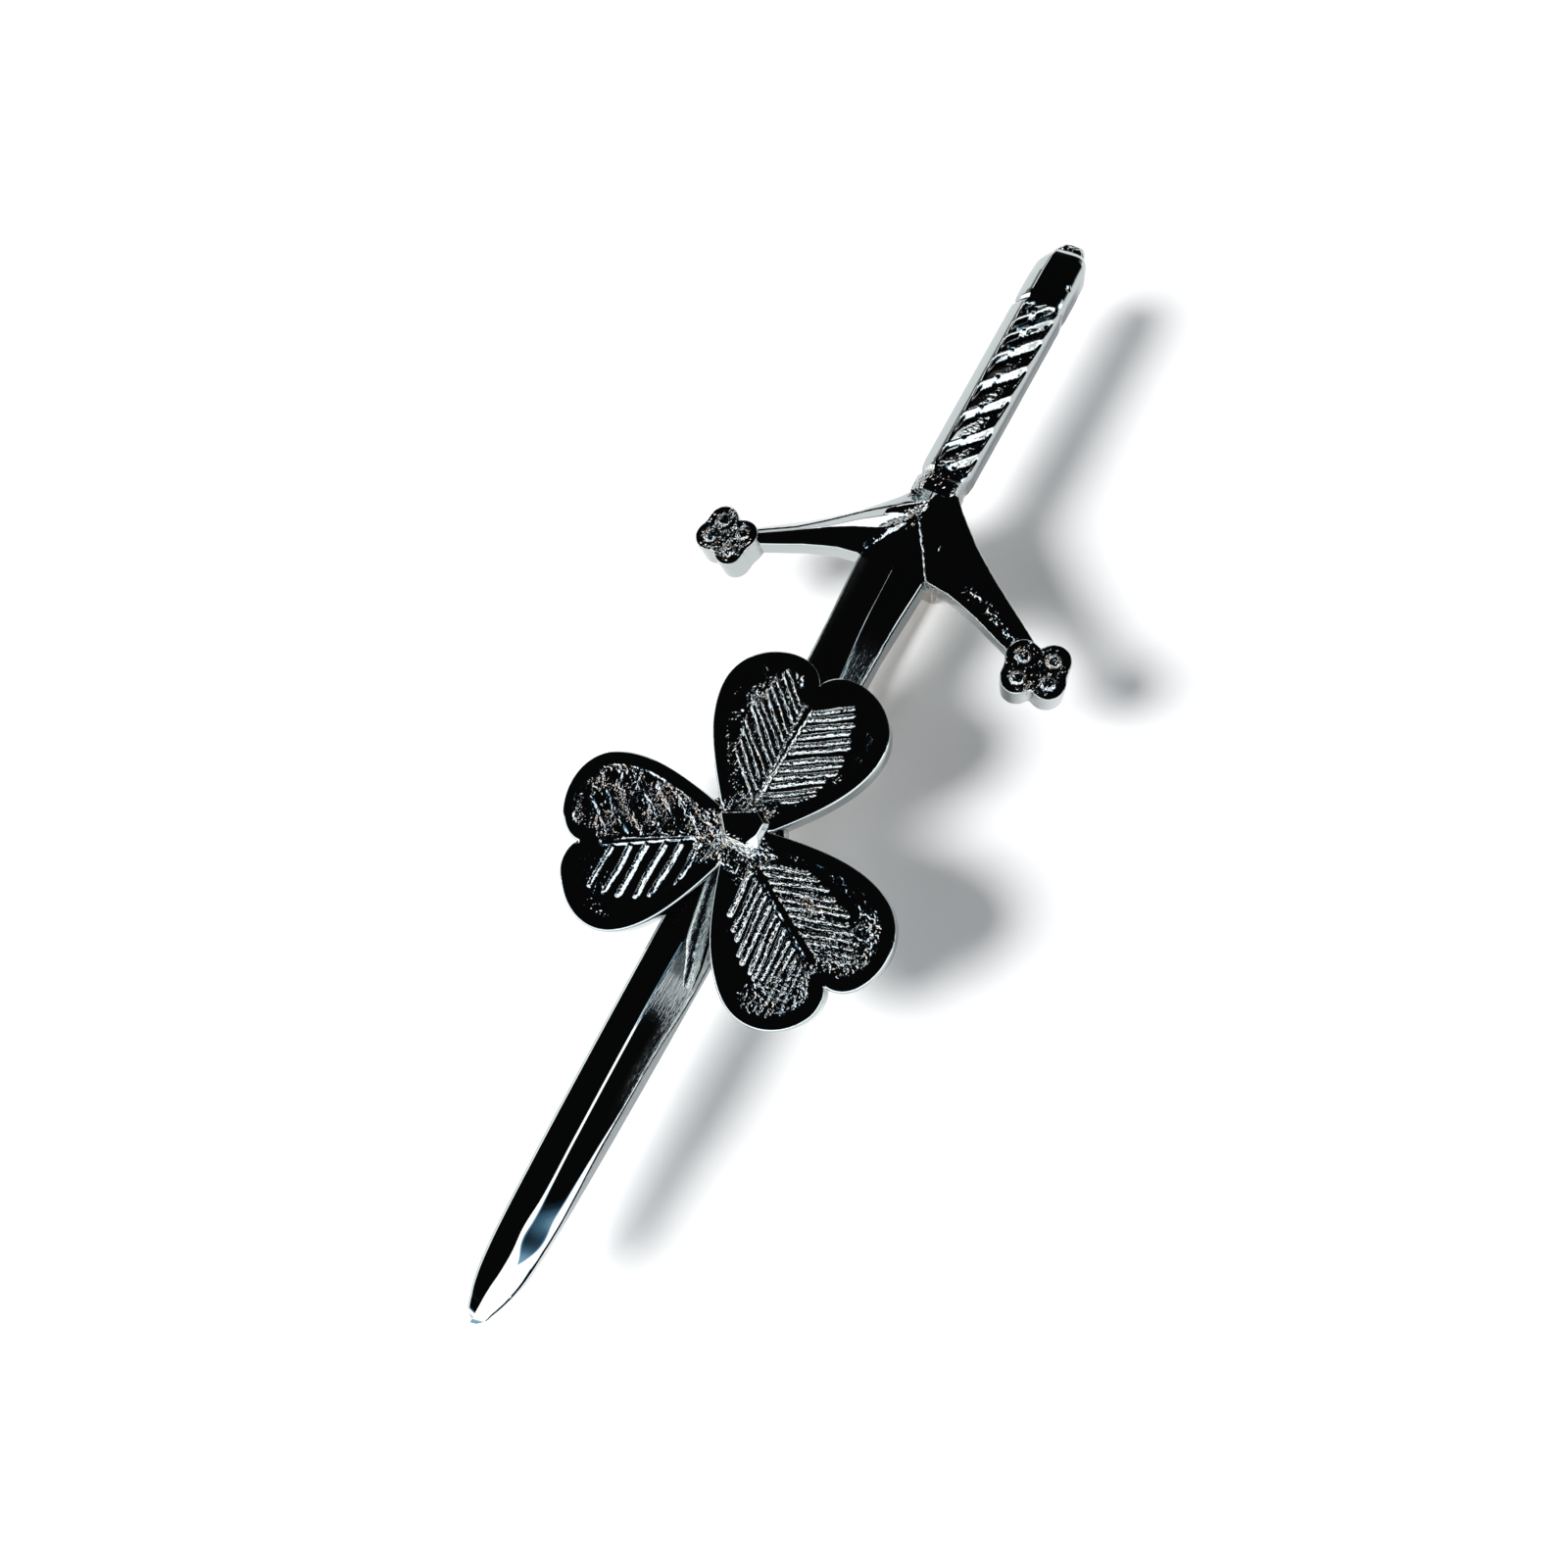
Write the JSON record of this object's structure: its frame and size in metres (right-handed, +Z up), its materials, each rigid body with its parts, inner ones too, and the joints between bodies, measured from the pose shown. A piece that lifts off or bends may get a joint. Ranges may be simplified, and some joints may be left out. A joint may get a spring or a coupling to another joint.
{
  "type": "kilt pin",
  "caption": "Chrome-plated kilt pin shaped as a claymore with a shamrock badge across its blade and a bar pin behind.",
  "frame": {"origin": "middle of the object's box, on the surface that it lies on with its back down", "axes": "+X to the right as seen from the front, +Y along the sword towards the pommel, +Z up from the back to the front"},
  "size_m": [0.033, 0.0974, 0.0122],
  "materials": {
    "chrome_plate": "bright chrome plate over a zinc alloy casting, polished on the high faces and grained in the fields",
    "nickel_plate": "plain nickel plate on steel strip and wire, half bright"
  },
  "bodies": {
    "root": {"sword": "chrome_plate", "shamrock": "chrome_plate", "bar_pin": "nickel_plate"}
  },
  "joints": []
}
